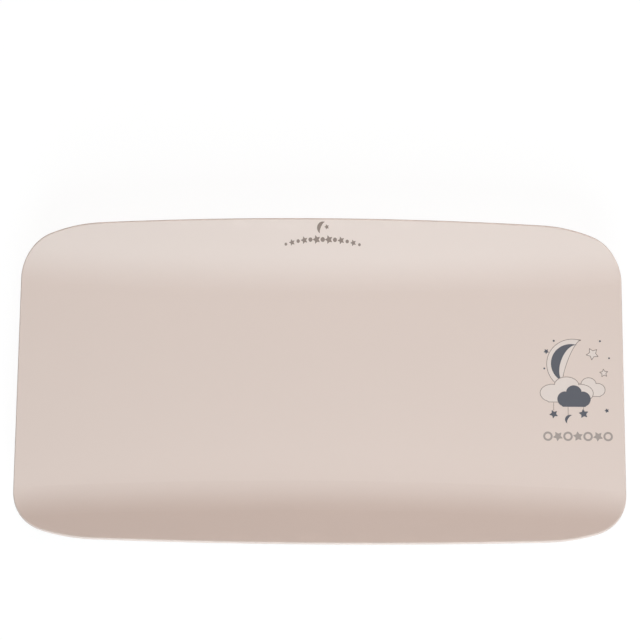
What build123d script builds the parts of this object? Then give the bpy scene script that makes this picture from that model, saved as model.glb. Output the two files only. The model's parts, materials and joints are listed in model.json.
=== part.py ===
from build123d import *
import math
import os

# Digital baby weighing scale: a long trough-shaped tray screwed to a low housing that
# carries the display and button panel, the electronics, the battery bay and four feet,
# each standing on its own load cell.
# Millimetres, +Z up. The origin is on the table under the middle of the tray, X runs
# along the tray, and the user stands on the -Y side.

# ---- Driving dimensions: tray ----
tray_length = 550.0
tray_depth = 302.0
tray_wall = 3.0
tray_floor_height = 42.0  # upper face of the flat floor, above the table
lip_width = 62.5  # from the rim to the line where the lip starts to rise, at mid-length
lip_line_radius = 4700.0  # that line bows outwards towards the ends of the tray
lip_bend_radius = 60.0
lip_angle = 28.0
long_side_radius = 5100.0  # the outline: long side, shoulder and corner, tangent arcs
shoulder_radius = 160.0
shoulder_reach = 74.0  # from the end of the tray to where the shoulder arc starts
corner_radius = 41.5
rim_round = 1.3  # rounding of the rim's upper edge
rim_break = 0.8  # and of its lower edge
tray_rib = 1.8
tray_rib_height = 7.0
cross_rib_pitch = 50.0
cross_ribs_each_side = 4
long_rib_offset = 44.0

# ---- Driving dimensions: housing ----
foot_gap = 5.0  # table to the underside of the housing
housing_wall = 2.2
housing_end_overhang = 30.0  # of the tray's end over the housing's end
housing_side_overhang = 59.0  # of the tray's long side over the housing's long wall
housing_corner = 30.0
housing_draft = 6.0
housing_edge_round = 6.0
seam_gap = 0.3  # parting line between tray and housing wall
pod_width = 196.0
pod_overhang = 43.0  # of the tray's front over the top of the sloping panel
pod_tilt = 52.0  # of the panel from the horizontal
pod_round = 5.0

# ---- Driving dimensions: screws that hold tray and housing together ----
boss_diameter = 9.0
boss_split = 16.0  # height where the tray's boss lands on the housing's boss
boss_web = 3.0  # plastic under the screw's head
boss_setback = 20.0  # of the corner and side screws from the housing's walls
boss_x_inner = 110.0
screw_diameter = 3.0
screw_length = 13.0
screw_head_diameter = 6.0
screw_head_height = 2.0
screw_clearance = 0.3
thread_clearance = 0.05

# ---- Driving dimensions: feet and load cells ----
foot_setback_x = 55.0  # of a foot's middle from the housing's end
foot_setback_y = 32.0  # and from its long wall
foot_pad_diameter = 34.0
foot_pad_height = 3.0
foot_pad_seat = 1.4  # depth of the pad's seat in its carrier
pad_groove_middle = 0.65  # diameter of the groove's middle, as a share of the pad's
pad_groove_width = 1.7
carrier_rim = 2.0
carrier_floor = 2.0
carrier_boss_diameter = 9.0
carrier_boss_height = 4.0
carrier_pin_diameter = 4.0
carrier_pin_proud = 1.0
carrier_rib_count = 6
carrier_rib_reach = 0.8  # as a share of the carrier's radius
carrier_rib_width = 1.2
carrier_rib_height = 1.5
pin_clearance = 0.1
cell_size = 34.0
cell_thickness = 2.4
cell_corner = 4.0
tongue_width = 13.0
tongue_length = 20.0
tongue_slot = 2.5
cell_rail_height = 2.5  # the rails lift the cell off the ceiling, so that it can bend
cell_rail_width = 4.0
cell_rail_length = 17.0
cell_hook = 1.6
cell_hook_grip = 1.2
cell_hook_width = 4.8
well_clearance = 3.0  # from the carrier's rim to the wall of its well
gauge_width = 8.0
gauge_length = 5.0
gauge_height = 0.6

# ---- Driving dimensions: display and buttons ----
lens_gap = 7.5  # between the lens and the flange of the button beside it
lens_height = 28.0
lens_thickness = 1.2
lens_corner = 4.0
lens_clearance = 0.1
window_border = 6.0  # of the lens at each end of the window
window_height = 18.0
glass_border = 3.0
glass_height = 21.0
glass_thickness = 2.0
backlight_thickness = 2.6
frame_wall = 1.3
strip_width = 1.6
part_gap = 0.3  # between pieces that lie side by side
pcb_depth = 9.5  # from the panel's outer face to the board's front
pcb_thickness = 1.6
pcb_margin = 2.6  # from the side wall of the pod to the board's end
pcb_top = 20.0  # the board's upper edge above the panel's middle
post_diameter = 5.0
post_edge = 4.7  # from the board's end to the outer posts
post_gap = 0.5  # between a post and a button's flange
post_y_high = 16.0
post_y_low = -6.0
pcb_screw_diameter = 2.2
pcb_screw_length = 6.5
pcb_screw_head = 4.2
pcb_screw_head_height = 1.3
chip_size = 12.0
chip_height = 1.4
connector_width = 34.0
connector_height = 6.0
connector_depth = 5.5
connector_y = 12.0
battery_lead_x = 25.0
button_pitch = 23.0
button_width = 15.0
button_height = 10.0
button_corner = 3.0
button_proud = 1.2
button_clearance = 0.25
button_flange = 1.5
button_flange_thickness = 1.2
button_travel = 0.7
stem_diameter = 4.0
switch_size = 6.0
switch_height = 3.5
plunger_diameter = 3.4
plunger_proud = 1.0
plunger_depth = 1.0
plunger_clearance = 0.1

# ---- Driving dimensions: battery bay, three AAA cells ----
battery_diameter = 10.5
battery_length = 44.5
battery_nub_diameter = 3.8
battery_nub_height = 1.0
battery_edge_round = 0.6
battery_play = 0.6
battery_count = 3
bay_y = 25.0
bay_wall = 2.4
bay_ledge = 1.2  # of the door beyond the bay's inner walls
contact_thickness = 0.5
contact_height = 8.0
contact_setback = 1.0  # of a contact's side edge from the side of its cell
spring_space = 5.5
spring_wire = 0.7
spring_diameter = 6.0
spring_tip_diameter = 4.0
spring_turns = 2.5
tail_width = 2.0
tail_proud = 1.5
door_thickness = 2.0
door_gap = 0.3
door_latch_reach = 6.0
tongue_cut = 0.8
latch_width = 12.0
barrel_radius = 2.5
hinge_pin_diameter = 2.4
hinge_pin_length = 2.2
hinge_clearance = 0.1
lug_wall = 2.0
scoop_radius = 14.0
scoop_depth = 1.2

# ---- Driving dimensions: leads ----
lead_diameter = 2.4
battery_lead_diameter = 1.6
lead_hole_clearance = 0.6
lead_bend_radius = 4.0
front_lead_setbacks = (50.0, 100.0)  # of a lead's first two bends from its foot
rear_lead_setbacks = (45.0, 85.0)
front_lead_bend_x = 45.0  # its last bend, near the board
rear_lead_bend_x = 40.0
front_lead_rows = (-56.0, -58.0, -66.0)  # Y of the three bends
rear_lead_rows = (36.0, -8.0, -54.0)
battery_lead_bend_x = 38.0
battery_lead_bend_y = 14.0  # in front of the contact's tail
battery_lead_rise = (34.0, -30.0, 20.0)  # where it leaves the bay for the board

# ---- Worked-out levels and places ----
half_length = tray_length / 2
half_depth = tray_depth / 2
lip_line = half_depth - lip_width
lip_centre = lip_line + lip_line_radius
tray_underside = tray_floor_height - tray_wall
housing_floor = foot_gap + housing_wall
housing_half_length = half_length - housing_end_overhang
housing_half_depth = half_depth - housing_side_overhang
draft_inset = (tray_underside - foot_gap) * math.tan(math.radians(housing_draft))

carrier_bottom = foot_pad_height - foot_pad_seat
carrier_top = foot_pad_height + carrier_floor
carrier_radius = foot_pad_diameter / 2 + carrier_rim
cell_bottom = carrier_top + carrier_boss_height
cell_top = cell_bottom + cell_thickness
well_ceiling = cell_top + cell_rail_height
cell_lead_z = cell_top + lead_diameter / 2
well_size = 2 * (carrier_radius + well_clearance)
foot_x = housing_half_length - foot_setback_x
foot_y = housing_half_depth - foot_setback_y
boss_x_outer = housing_half_length - boss_setback
boss_y = housing_half_depth - boss_setback
foot_places = {
    "front_left": (-foot_x, -foot_y),
    "front_right": (foot_x, -foot_y),
    "rear_left": (-foot_x, foot_y),
    "rear_right": (foot_x, foot_y),
}
boss_places = [
    (side_x * x, side_y * boss_y)
    for x in (boss_x_outer, boss_x_inner)
    for side_x in (-1, 1)
    for side_y in (-1, 1)
]

# The panel's own frame: X along the scale, Y up the slope, Z out of the panel. A depth
# is measured from the panel's outer face into the housing.
panel_rise = tray_underside - housing_floor
panel_sine = math.sin(math.radians(pod_tilt))
panel_cosine = math.cos(math.radians(pod_tilt))
panel_top_y = -(half_depth - pod_overhang)
panel_middle = Vector(
    0,
    panel_top_y - panel_rise / 2 * panel_cosine / panel_sine,
    tray_underside - panel_rise / 2,
)
panel = Plane(panel_middle, x_dir=(1, 0, 0), z_dir=(0, -panel_sine, panel_cosine)).location
panel_inward = Vector(0, panel_sine, -panel_cosine)
glass_depth = housing_wall + part_gap
strip_depth = glass_depth + glass_thickness
pcb_back = pcb_depth + pcb_thickness
pcb_half_width = pod_width / 2 - housing_wall - pcb_margin
pcb_bottom = (
    housing_floor + part_gap - panel_middle.Z + pcb_back * panel_cosine
) / panel_sine
post_x_outer = pcb_half_width - post_edge
button_x_outer = (
    post_x_outer - (post_diameter + button_width) / 2 - button_flange - post_gap
)
button_x_inner = button_x_outer - button_pitch
lens_width = 2 * (button_x_inner - button_width / 2 - button_flange - lens_gap)
window_width = lens_width - 2 * window_border
glass_width = lens_width - 2 * glass_border
post_x_inner = lens_width / 2 + post_diameter
post_places = [(s * post_x_inner, post_y_high) for s in (-1, 1)]
post_places += [(s * post_x_outer, y) for s in (-1, 1) for y in (post_y_high, post_y_low)]
button_places = {
    "power": -button_x_outer,
    "unit": -button_x_inner,
    "hold": button_x_inner,
    "tare": button_x_outer,
}
flange_depth = housing_wall + part_gap
flange_back = flange_depth + button_flange_thickness
switch_top = pcb_depth - switch_height
plunger_top = switch_top - plunger_proud

battery_pitch = battery_diameter + battery_play
battery_z = housing_floor + battery_play / 2 + battery_diameter / 2
bay_length = battery_length + spring_space + 2 * contact_thickness
bay_width = battery_count * battery_pitch + battery_play
bay_ceiling = battery_z + battery_diameter / 2 + battery_play
tail_z = battery_z + contact_height / 2 - tail_width / 2
door_half_width = bay_width / 2 + bay_ledge
hinge_x = -(bay_length / 2 + bay_wall + door_gap + barrel_radius)
hinge_z = foot_gap + barrel_radius
latch_x = bay_length / 2 + bay_wall + door_latch_reach
battery_rows = [
    (bay_y + (i - (battery_count - 1) / 2) * battery_pitch, 1 if i % 2 == 0 else -1)
    for i in range(battery_count)
]


def block(x0, x1, y0, y1, z0, z1):
    """A box between two corners."""
    middle = Pos((x0 + x1) / 2, (y0 + y1) / 2, (z0 + z1) / 2)
    return middle * Box(x1 - x0, y1 - y0, z1 - z0)


def rod(x, y, z0, z1, diameter):
    """An upright cylinder from z0 to z1."""
    return Pos(x, y, (z0 + z1) / 2) * Cylinder(diameter / 2, z1 - z0)


def panel_block(x, y, width, height, depth0, depth1, corner=0.0):
    """A plate parallel to the panel between two depths, with round corners if wanted."""
    outline = RectangleRounded(width, height, corner) if corner else Rectangle(width, height)
    return panel * Pos(x, y, -depth1) * extrude(outline, depth1 - depth0)


def panel_rod(x, y, diameter, depth0, depth1):
    """A cylinder square to the panel between two depths."""
    return panel * Pos(x, y, -(depth0 + depth1) / 2) * Cylinder(diameter / 2, depth1 - depth0)


def panel_point(x, y, depth):
    """A point of the panel's frame in the scale's frame."""
    return (panel * Pos(x, y, -depth)).position


# ---- Tray ----
def tray_outline():
    """The plan outline: long sides, shoulders and corners as tangent arcs."""
    lean = math.asin((half_length - shoulder_reach) / long_side_radius)
    turn = math.asin(
        (shoulder_reach - corner_radius + shoulder_radius * math.sin(lean))
        / (shoulder_radius - corner_radius)
    )
    side_centre = Vector(0, half_depth - long_side_radius)
    shoulder_centre = side_centre + Vector(math.sin(lean), math.cos(lean)) * (
        long_side_radius - shoulder_radius
    )
    corner_centre = shoulder_centre + Vector(math.sin(turn), math.cos(turn)) * (
        shoulder_radius - corner_radius
    )
    arcs = [
        (side_centre, long_side_radius, 0.0, lean),
        (shoulder_centre, shoulder_radius, lean, turn),
        (corner_centre, corner_radius, turn, math.pi / 2),
    ]
    quarter = [
        CenterArc(centre, radius, 90 - math.degrees(end), math.degrees(end - start))
        for centre, radius, start, end in arcs
    ]
    end_line = Line((half_length, corner_centre.Y), (half_length, -corner_centre.Y))
    right = quarter + [mirror(arc, Plane.XZ) for arc in quarter] + [end_line]
    return make_face(right + [mirror(edge, Plane.YZ) for edge in right])


def lip_height(past):
    """Rise of the lip's upper face at a distance past the lip line."""
    slope = math.radians(lip_angle)
    bend = lip_bend_radius * math.sin(slope)
    if past <= 0:
        return 0.0
    if past < bend:
        return lip_bend_radius - math.sqrt(lip_bend_radius**2 - past**2)
    return lip_bend_radius * (1 - math.cos(slope)) + (past - bend) * math.tan(slope)


def space_below(offset):
    """The space under the tray's front half, a given distance below its upper face.

    Its top is flat, then bends up along the lip line. The line is an arc about a far
    upright axis, so the lip is a ring-shaped face and a cone about that axis.
    """
    slope = math.radians(lip_angle)
    radius = lip_bend_radius + offset
    level = tray_floor_height - offset
    inner = lip_line / 2
    outer = half_depth + lip_width
    bend_start = (-lip_line, level)
    bend_middle = (
        -lip_line - radius * math.sin(slope / 2),
        level + radius * (1 - math.cos(slope / 2)),
    )
    bend_end = (
        -lip_line - radius * math.sin(slope),
        level + radius * (1 - math.cos(slope)),
    )
    lip_end = (-outer, bend_end[1] + (outer + bend_end[0]) * math.tan(slope))
    depth = -foot_gap
    edges = [
        Line((inner, level), bend_start),
        ThreePointArc(bend_start, bend_middle, bend_end),
        Line(bend_end, lip_end),
        Line(lip_end, (-outer, depth)),
        Line((-outer, depth), (inner, depth)),
        Line((inner, depth), (inner, level)),
    ]
    axis = Axis((0, -lip_centre, 0), (0, 0, 1))
    half_sweep = math.degrees(math.asin((half_length + lip_width) / (lip_line_radius - lip_width)))
    profile = (Plane.YZ * make_face(edges)).rotate(axis, -half_sweep)
    ring = revolve(profile, axis, 2 * half_sweep)
    reach = half_length + lip_width
    return ring & block(-reach, reach, -outer, 0, depth - 1, tray_floor_height + outer)


def both_halves(front):
    """A front half together with its mirror image."""
    return front + mirror(front, Plane.XZ)


def round_rim(shell):
    """Rounds the upper and the lower edge of the rim."""
    def rim_edges(body, upper):
        found = []
        walls = [face for face in body.faces() if abs(face.normal_at().Z) < 1e-3]
        for edge in (edge for wall in walls for edge in wall.edges()):
            point = edge @ 0.5
            past = lip_line_radius - math.hypot(point.X, lip_centre - abs(point.Y))
            drop = tray_floor_height + lip_height(past) - point.Z
            if abs((edge % 0.5).Z) < 0.99 and (drop < tray_wall / 4) == upper:
                found.append(edge)
        return found

    shell = fillet(rim_edges(shell, True), rim_round)
    return fillet(rim_edges(shell, False), rim_break)


def tray():
    """The trough-shaped tray with the ribs and screw bosses under its floor."""
    front = (space_below(0) - space_below(tray_wall)) & extrude(tray_outline(), 2 * tray_depth)
    body = round_rim(both_halves(front))
    rib_x = housing_half_length - housing_wall - draft_inset
    rib_y = housing_half_depth - housing_wall - draft_inset
    rib_bottom = tray_underside - tray_rib_height
    for i in range(-cross_ribs_each_side, cross_ribs_each_side + 1):
        x = i * cross_rib_pitch
        body += block(x - tray_rib / 2, x + tray_rib / 2, -rib_y, rib_y, rib_bottom, tray_underside)
    for y in (-long_rib_offset, 0, long_rib_offset):
        body += block(-rib_x, rib_x, y - tray_rib / 2, y + tray_rib / 2, rib_bottom, tray_underside)
    pilot_top = boss_split - boss_web + screw_length + 1
    for x, y in boss_places:
        body += rod(x, y, boss_split, tray_underside, boss_diameter)
    for x, y in boss_places:
        body -= rod(x, y, boss_split, pilot_top, screw_diameter + 2 * thread_clearance)
    return body


# ---- Housing ----
def tub_form(inset):
    """The drafted tub, shrunk by a distance on its sides and bottom."""
    length = 2 * (housing_half_length - inset)
    depth = 2 * (housing_half_depth - inset)
    bottom = foot_gap + inset
    outline = RectangleRounded(length, depth, housing_corner - inset)
    form = extrude(outline, -(tray_underside - bottom), taper=housing_draft)
    form = Pos(0, 0, tray_underside) * form
    bottom_edges = form.faces().sort_by(Axis.Z)[0].edges()
    return fillet(bottom_edges, housing_edge_round - inset)


def pod_form(inset):
    """The wedge in front of the tub that carries the sloping panel."""
    over = tray_floor_height
    slope_run = panel_cosine / panel_sine
    shift = inset / panel_sine
    bottom = foot_gap + inset
    front_top = panel_top_y + shift + (over - tray_underside) * slope_run
    front_bottom = panel_top_y + shift - (tray_underside - bottom) * slope_run
    back = -housing_half_depth / 2
    corners = [(back, bottom), (front_bottom, bottom), (front_top, over), (back, over)]
    half = pod_width / 2 - inset
    profile = Plane.YZ * make_face(Polyline(*corners, close=True))
    form = Pos(-half, 0, 0) * extrude(profile, 2 * half)
    nose = [e for e in form.edges() if (e @ 0.5).Y < (front_top + back) / 2 and (e @ 0.5).Z < over - 1]
    return fillet(nose, pod_round - inset)


def housing_form(inset):
    """Tub and pod together, up to the tray's underside."""
    return tub_form(inset) + pod_form(inset)


def foot_well(x, y):
    """The well's outer block, its hollow and the rails and hooks that hold the cell."""
    half = well_size / 2
    wall = housing_wall
    outer = block(x - half - wall, x + half + wall, y - half - wall, y + half + wall,
                  foot_gap, well_ceiling + wall)
    hollow = block(x - half, x + half, y - half, y + half, foot_gap - 1, well_ceiling)
    holders = []
    for side in (-1, 1):
        rail_y = y + side * (cell_size - cell_rail_width) / 2
        holders.append(block(x - cell_rail_length / 2, x + cell_rail_length / 2,
                             rail_y - cell_rail_width / 2, rail_y + cell_rail_width / 2,
                             cell_top, well_ceiling))
        arm = cell_size / 2 + pin_clearance
        lip_top = cell_bottom - pin_clearance
        hook = block(arm, arm + cell_hook, -cell_hook_width / 2, cell_hook_width / 2,
                     lip_top - cell_hook / 2, well_ceiling)
        hook += block(arm - cell_hook_grip, arm, -cell_hook_width / 2, cell_hook_width / 2,
                      lip_top - cell_hook / 2, lip_top)
        holders.append(Pos(x, y, 0) * (hook if side > 0 else mirror(hook, Plane.YZ)))
    return outer, hollow, holders


def panel_openings():
    """What is cut through the sloping panel: lens seat, window and button holes."""
    cuts = [
        panel_block(0, 0, lens_width + 2 * lens_clearance, lens_height + 2 * lens_clearance,
                    -1, lens_thickness, lens_corner + lens_clearance),
        panel_block(0, 0, window_width, window_height, 0, housing_wall + 1, 1),
    ]
    for x in button_places.values():
        cuts.append(panel_block(x, 0, button_width + 2 * button_clearance,
                                button_height + 2 * button_clearance, -1, housing_wall + 1,
                                button_corner + button_clearance))
    return cuts


def battery_bay():
    """The bay's walls, its hollow with the door's opening, and the hinge lugs."""
    length, width = bay_length / 2, bay_width / 2
    walls = block(-length - bay_wall, length + bay_wall, bay_y - width - bay_wall,
                  bay_y + width + bay_wall, housing_floor, bay_ceiling + bay_wall)
    hollow = block(-length, length, bay_y - width, bay_y + width, foot_gap, bay_ceiling)
    hole_half = door_half_width + door_gap
    opening = block(hinge_x - barrel_radius - door_gap, latch_x + door_gap,
                    bay_y - hole_half, bay_y + hole_half, foot_gap - 1, housing_floor)
    swing = Pos(hinge_x, bay_y, hinge_z) * Rot(90, 0, 0)
    opening += swing * Cylinder(barrel_radius + door_gap, 2 * hole_half)
    slots = []
    for y, end in ((battery_rows[0][0], length), (battery_rows[-1][0], -length)):
        slots.append(block(end - bay_wall * 2, end + bay_wall * 2,
                           y - tail_width / 2 - part_gap, y + tail_width / 2 + part_gap,
                           tail_z - tail_width / 2 - part_gap, tail_z + tail_width / 2 + part_gap))
    lugs = []
    for side in (-1, 1):
        inner = bay_y + side * hole_half
        outer = inner + side * (hinge_pin_length + lug_wall)
        radius = hinge_pin_diameter / 2 + lug_wall
        lugs.append(block(hinge_x - radius, hinge_x + radius, min(inner, outer), max(inner, outer),
                          housing_floor, hinge_z + radius))
    bore = swing * Cylinder(hinge_pin_diameter / 2 + hinge_clearance,
                            2 * (hole_half + hinge_pin_length))
    return walls, hollow, opening, slots, lugs, bore


def base_shell():
    """The housing: drafted tub with the panel pod, wells, bosses and battery bay."""
    shell = housing_form(0) - housing_form(housing_wall)
    walls, bay_hollow, opening, slots, lugs, bore = battery_bay()
    shell += walls
    for lug in lugs:
        shell += lug
    wells = [foot_well(x, y) for x, y in foot_places.values()]
    for outer, _, _ in wells:
        shell += outer
    for x, y in boss_places:
        shell += rod(x, y, foot_gap, boss_split, boss_diameter)
    trim = both_halves(space_below(tray_wall + seam_gap))
    shell &= trim
    for _, well_hollow, _ in wells:
        shell -= well_hollow
    for _, _, holders in wells:
        for holder in holders:
            shell += holder
    for cut in [bay_hollow, opening, bore, *slots, *panel_openings()]:
        shell -= cut
    for x, y in post_places:
        shell += panel_rod(x, y, post_diameter, housing_wall, pcb_depth)
        shell -= panel_rod(x, y, pcb_screw_diameter + 2 * thread_clearance,
                           housing_wall + part_gap, pcb_depth)
    head_room = boss_split - boss_web
    for x, y in boss_places:
        shell -= rod(x, y, foot_gap - 1, boss_split, screw_diameter + 2 * screw_clearance)
        shell -= rod(x, y, foot_gap - 1, head_room, screw_head_diameter + 2 * screw_clearance)
    for x, y in foot_places.values():
        shell -= lead_hole(x, y)
    scoop_x = latch_x + door_gap + scoop_radius / 2
    scoop = Pos(scoop_x, bay_y, foot_gap + scoop_depth - scoop_radius) * Sphere(scoop_radius)
    return shell - scoop


def lead_hole(x, y):
    """The hole in the well's inner wall that the load cell's lead passes through."""
    toward = -1 if x > 0 else 1
    wall_x = x + toward * (well_size / 2 + housing_wall / 2)
    radius = lead_diameter / 2 + lead_hole_clearance
    place = Pos(wall_x, gauge_y(y), cell_lead_z) * Rot(0, 90, 0)
    return place * Cylinder(radius, 2 * housing_wall)


# ---- Feet ----
def foot_pad(x, y):
    """A rubber disc with a ring groove in the face it stands on."""
    pad = rod(x, y, 0, foot_pad_height, foot_pad_diameter)
    pad = fillet(pad.faces().sort_by(Axis.Z)[0].edges(), foot_pad_seat / 2)
    middle = foot_pad_diameter * pad_groove_middle
    groove = rod(x, y, -1, foot_pad_seat / 2, middle + pad_groove_width)
    groove -= rod(x, y, -1, foot_pad_seat / 2, middle - pad_groove_width)
    return pad - groove


def foot_carrier(x, y):
    """The cup that holds the pad, with the boss and pin that press on the load cell."""
    cup = rod(x, y, carrier_bottom, carrier_top, 2 * carrier_radius)
    cup = fillet(cup.edges().filter_by(GeomType.CIRCLE), carrier_rim / 4)
    cup -= rod(x, y, carrier_bottom - 1, foot_pad_height, foot_pad_diameter)
    cup += rod(x, y, carrier_top, cell_bottom, carrier_boss_diameter)
    rib = block(0, carrier_radius * carrier_rib_reach, -carrier_rib_width / 2,
                carrier_rib_width / 2, carrier_top, carrier_top + carrier_rib_height)
    for i in range(carrier_rib_count):
        cup += Pos(x, y, 0) * Rot(0, 0, i * 360 / carrier_rib_count) * rib
    return cup + rod(x, y, cell_bottom, cell_top + carrier_pin_proud, carrier_pin_diameter)


def load_cell(x, y):
    """The steel plate: an outer frame, and a tongue that joins it at one side only."""
    plate = extrude(RectangleRounded(cell_size, cell_size, cell_corner), cell_thickness)
    slot_width = tongue_width + 2 * tongue_slot
    slot_length = tongue_length + tongue_slot
    slot = block(-slot_width / 2, slot_width / 2, -slot_length / 2, slot_length / 2, -1, cell_thickness + 1)
    tongue = block(-tongue_width / 2, tongue_width / 2, tongue_slot - slot_length / 2,
                   slot_length / 2 + 1, -2, cell_thickness + 2)
    hole = Cylinder(carrier_pin_diameter / 2 + pin_clearance / 2, 4 * cell_thickness)
    plate = plate - (slot - tongue) - hole
    turned = Rot(0, 0, 180 if y > 0 else 0)
    return Pos(x, y, cell_bottom) * turned * plate


def gauge_y(y):
    """Where the gauge lies, on the root of the tongue, for a foot at y."""
    root = cell_size / 2 - cell_rail_width - gauge_length / 2 - part_gap
    return y + (-root if y > 0 else root)


def strain_gauge(x, y):
    """The sealed gauge on the root of the tongue."""
    middle = gauge_y(y)
    return block(x - gauge_width / 2, x + gauge_width / 2, middle - gauge_length / 2,
                 middle + gauge_length / 2, cell_top, cell_top + gauge_height)


# ---- Display and buttons ----
def display_lens():
    """The clear lens, flush in its seat in the panel."""
    return panel_block(0, 0, lens_width, lens_height, 0, lens_thickness, lens_corner)


def lcd_glass():
    """The display glass behind the window."""
    return panel_block(0, 0, glass_width, glass_height, glass_depth, strip_depth)


def strip_rows():
    """Heights of the two contact strips on the panel."""
    return [s * (glass_height - strip_width) / 2 for s in (-1, 1)]


def lcd_backlight():
    """The light guide plate between the strips, behind the glass."""
    height = glass_height - 2 * (strip_width + part_gap)
    return panel_block(0, 0, glass_width - 2 * part_gap, height, strip_depth,
                       strip_depth + backlight_thickness)


def lcd_elastomer_strips():
    """The two rubber contact strips from the glass to the board."""
    return [
        panel_block(0, y, window_width, strip_width, strip_depth, pcb_depth)
        for y in strip_rows()
    ]


def lcd_frame():
    """The frame around glass and backlight, standing on the board."""
    width = glass_width + 2 * part_gap
    height = glass_height + 2 * part_gap
    outer = panel_block(0, 0, width + 2 * frame_wall, height + 2 * frame_wall, glass_depth, pcb_depth, 1)
    return outer - panel_block(0, 0, width, height, glass_depth - 1, pcb_depth + 1)


def main_pcb():
    """The board, parallel to the panel, with its screw holes."""
    height = pcb_top - pcb_bottom
    board = panel_block(0, pcb_bottom + height / 2, 2 * pcb_half_width, height, pcb_depth, pcb_back)
    for x, y in post_places:
        board -= panel_rod(x, y, pcb_screw_diameter + 2 * screw_clearance, pcb_depth - 1, pcb_back + 1)
    return board


def pcb_screw(x, y):
    """A pan head screw through the board into its post."""
    tip = pcb_back - pcb_screw_length
    head = panel_rod(x, y, pcb_screw_head, pcb_back, pcb_back + pcb_screw_head_height)
    return head + panel_rod(x, y, pcb_screw_diameter, tip, pcb_back)


def controller_chips():
    """The controller and the converter chip on the back of the board."""
    x = post_x_inner + chip_size
    return [
        panel_block(x, 0, chip_size, chip_size, pcb_back, pcb_back + chip_height),
        panel_block(-x, 0, chip_size / 2, chip_size / 2, pcb_back, pcb_back + chip_height),
    ]


def sensor_connector():
    """The header that the load cells' leads plug into."""
    return panel_block(0, connector_y, connector_width, connector_height, pcb_back,
                       pcb_back + connector_depth)


def button(x):
    """A button cap with the flange that keeps it in and the stem behind it."""
    cap = panel_block(x, 0, button_width, button_height, -button_proud, flange_depth, button_corner)
    face = max(cap.faces(), key=lambda f: (panel.inverse() * f).center().Z)
    cap = fillet(face.edges(), button_proud / 2)
    flange = panel_block(x, 0, button_width + 2 * button_flange, button_height + 2 * button_flange,
                         flange_depth, flange_back, button_corner)
    return cap + flange + panel_rod(x, 0, stem_diameter, flange_back, plunger_top)


def tact_switch(x):
    """The body of the switch under a button, with its plunger's bore."""
    body = panel_block(x, 0, switch_size, switch_size, switch_top, pcb_depth)
    bore = plunger_depth + button_travel + part_gap
    hole = plunger_diameter + 2 * plunger_clearance
    return body - panel_rod(x, 0, hole, switch_top - 1, switch_top + bore)


def switch_plunger(x):
    """The plunger that the button's stem rests on."""
    return panel_rod(x, 0, plunger_diameter, plunger_top, switch_top + plunger_depth)


# ---- Batteries and their door ----
def battery(y, heading):
    """An AAA cell with its nub at the end it heads for."""
    radius = battery_diameter / 2
    nub_face = bay_length / 2 - contact_thickness
    can_end = nub_face - battery_nub_height
    can = Cylinder(radius, battery_length - battery_nub_height)
    can = fillet(can.edges().filter_by(GeomType.CIRCLE), battery_edge_round)
    can = Pos(0, 0, can_end - (battery_length - battery_nub_height) / 2) * can
    cell = can + rod(0, 0, can_end, nub_face, battery_nub_diameter)
    return Pos(0, y, battery_z) * Rot(0, 90 * heading, 0) * cell


def battery_spring(y, heading):
    """A conical coil of square wire between a contact plate and a cell's flat end."""
    start = bay_length / 2 - contact_thickness - spring_wire / 2
    end = bay_length / 2 - contact_thickness - spring_space + spring_wire / 2
    height = start - end
    cone = math.degrees(math.atan((spring_tip_diameter - spring_diameter) / 2 / height))
    path = Helix(height / spring_turns, height, spring_diameter / 2, cone_angle=cone)
    section = Plane(origin=path @ 0, z_dir=path % 0) * Rectangle(spring_wire, spring_wire)
    coil = sweep(section, path, is_frenet=True)
    return Pos(0, y, battery_z) * Rot(0, 90 * heading, 0) * Pos(0, 0, -start) * coil


def battery_contacts():
    """The end plates: one bridges two cells at each end, two are single with a tail."""
    plates = []
    face = bay_length / 2
    for end in (-1, 1):
        rows = [y for y, _ in battery_rows]
        pair, single = (rows[:2], rows[2]) if end < 0 else (rows[1:], rows[0])
        x0, x1 = sorted((end * face, end * (face - contact_thickness)))
        half = battery_diameter / 2 - contact_setback
        z0, z1 = battery_z - contact_height / 2, battery_z + contact_height / 2
        plates.append(block(x0, x1, pair[0] - half, pair[1] + half, z0, z1))
        plate = block(x0, x1, single - half, single + half, z0, z1)
        t0, t1 = sorted((end * face, end * (face + bay_wall + tail_proud)))
        tail = block(t0, t1, single - tail_width / 2, single + tail_width / 2,
                     tail_z - contact_thickness / 2, tail_z + contact_thickness / 2)
        plates.append(plate + tail)
    return plates


def battery_door():
    """The door: plate, hinge barrel with its two pins, and a latch tongue."""
    top = foot_gap + door_thickness
    plate = block(hinge_x, latch_x, bay_y - door_half_width, bay_y + door_half_width, foot_gap, top)
    turn = Pos(hinge_x, bay_y, hinge_z) * Rot(90, 0, 0)
    plate += turn * Cylinder(barrel_radius, 2 * door_half_width)
    pin_half = door_half_width + door_gap + hinge_pin_length - hinge_clearance
    plate += turn * Cylinder(hinge_pin_diameter / 2, 2 * pin_half)
    for side in (-1, 1):
        y = bay_y + side * latch_width / 2
        plate -= block(latch_x - door_latch_reach, latch_x + 1, y - tongue_cut / 2, y + tongue_cut / 2,
                       foot_gap - 1, top + 1)
    return plate


# ---- Screws and leads ----
def housing_screw(x, y):
    """A screw from below through the housing's boss into the tray's boss."""
    head_top = boss_split - boss_web
    head = rod(x, y, head_top - screw_head_height, head_top, screw_head_diameter)
    return head + rod(x, y, head_top, head_top + screw_length, screw_diameter)


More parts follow.
